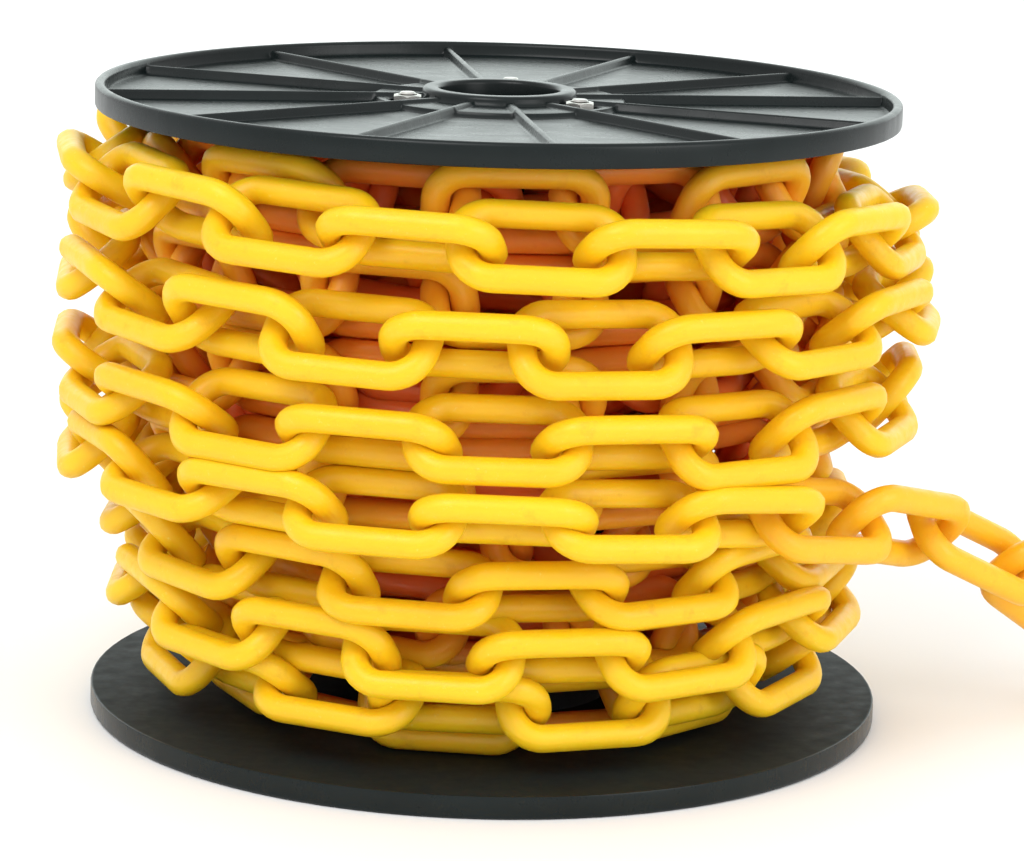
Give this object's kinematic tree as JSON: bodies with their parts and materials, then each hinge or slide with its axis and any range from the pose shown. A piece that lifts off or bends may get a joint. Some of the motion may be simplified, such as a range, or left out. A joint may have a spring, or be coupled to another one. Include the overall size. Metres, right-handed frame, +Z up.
{
  "type": "plastic chain reel",
  "caption": "Reel of plastic barrier chain: two ribbed black flanges bolted to a barrel, wound with yellow links whose free end hangs off in hinged links.",
  "frame": {"origin": "on the reel's axis, at the bottom of the lower flange's rim, where the reel stands", "axes": "+Z up along the reel's axis; -Y is the pictured front, and the chain's free end leaves towards +X and +Y"},
  "size_m": [0.4267, 0.259, 0.19],
  "materials": {
    "flange": "black moulded plastic, satin gloss",
    "barrel": "dark extruded tube, matt",
    "fastener": "zinc plated",
    "chain": "bright yellow moulded polyethylene, soft gloss"
  },
  "bodies": {
    "reel": {"flange_upper": "flange", "flange_lower": "flange", "hub_upper": "flange", "hub_lower": "flange", "barrel_tube": "barrel", "tie_bolt_1": "fastener", "tie_bolt_2": "fastener", "tie_bolt_3": "fastener", "nut_1": "fastener", "nut_2": "fastener", "nut_3": "fastener", "washer_lower_1": "fastener", "washer_lower_2": "fastener", "washer_lower_3": "fastener", "washer_upper_1": "fastener", "washer_upper_2": "fastener", "washer_upper_3": "fastener", "chain_layer_1": "chain", "chain_layer_2": "chain", "chain_layer_3": "chain", "chain_layer_4": "chain", "chain_link_take_off": "chain"},
    "link_1": {"chain_link_1": "chain"},
    "link_2": {"chain_link_2": "chain"},
    "link_3": {"chain_link_3": "chain"},
    "link_4": {"chain_link_4": "chain"},
    "link_5": {"chain_link_5": "chain"},
    "link_6": {"chain_link_6": "chain"},
    "link_7": {"chain_link_7": "chain"}
  },
  "joints": [
    {"name": "swing_1", "type": "hinge", "parent": "reel", "child": "link_1", "pos_m": [0.11127, -0.0566, 0.07356], "axis": [-0.4323, 0.6404, 0.6349], "range_deg": [-66, 15]},
    {"name": "swing_2", "type": "hinge", "parent": "link_1", "child": "link_2", "pos_m": [0.13543, -0.03176, 0.06495], "axis": [0.5961, -0.3253, 0.734], "range_deg": [-40, 58]},
    {"name": "swing_3", "type": "hinge", "parent": "link_2", "child": "link_3", "pos_m": [0.16341, -0.01624, 0.04911], "axis": [0.1748, -0.8397, -0.5141], "range_deg": [-51, 69]},
    {"name": "swing_4", "type": "hinge", "parent": "link_3", "child": "link_4", "pos_m": [0.18771, 0.00091, 0.02937], "axis": [-0.7113, 0.2533, -0.6556], "range_deg": [-44, 76]},
    {"name": "swing_5", "type": "hinge", "parent": "link_4", "child": "link_5", "pos_m": [0.20935, 0.02565, 0.01545], "axis": [0.3557, -0.6748, -0.6467], "range_deg": [-83, 37]},
    {"name": "swing_6", "type": "hinge", "parent": "link_5", "child": "link_6", "pos_m": [0.23919, 0.0449, 0.01178], "axis": [0.4179, -0.504, 0.7558], "range_deg": [-71, 48]},
    {"name": "swing_7", "type": "hinge", "parent": "link_6", "child": "link_7", "pos_m": [0.26591, 0.06856, 0.01279], "axis": [-0.5152, 0.5538, 0.6542], "range_deg": [-62, 57]}
  ]
}
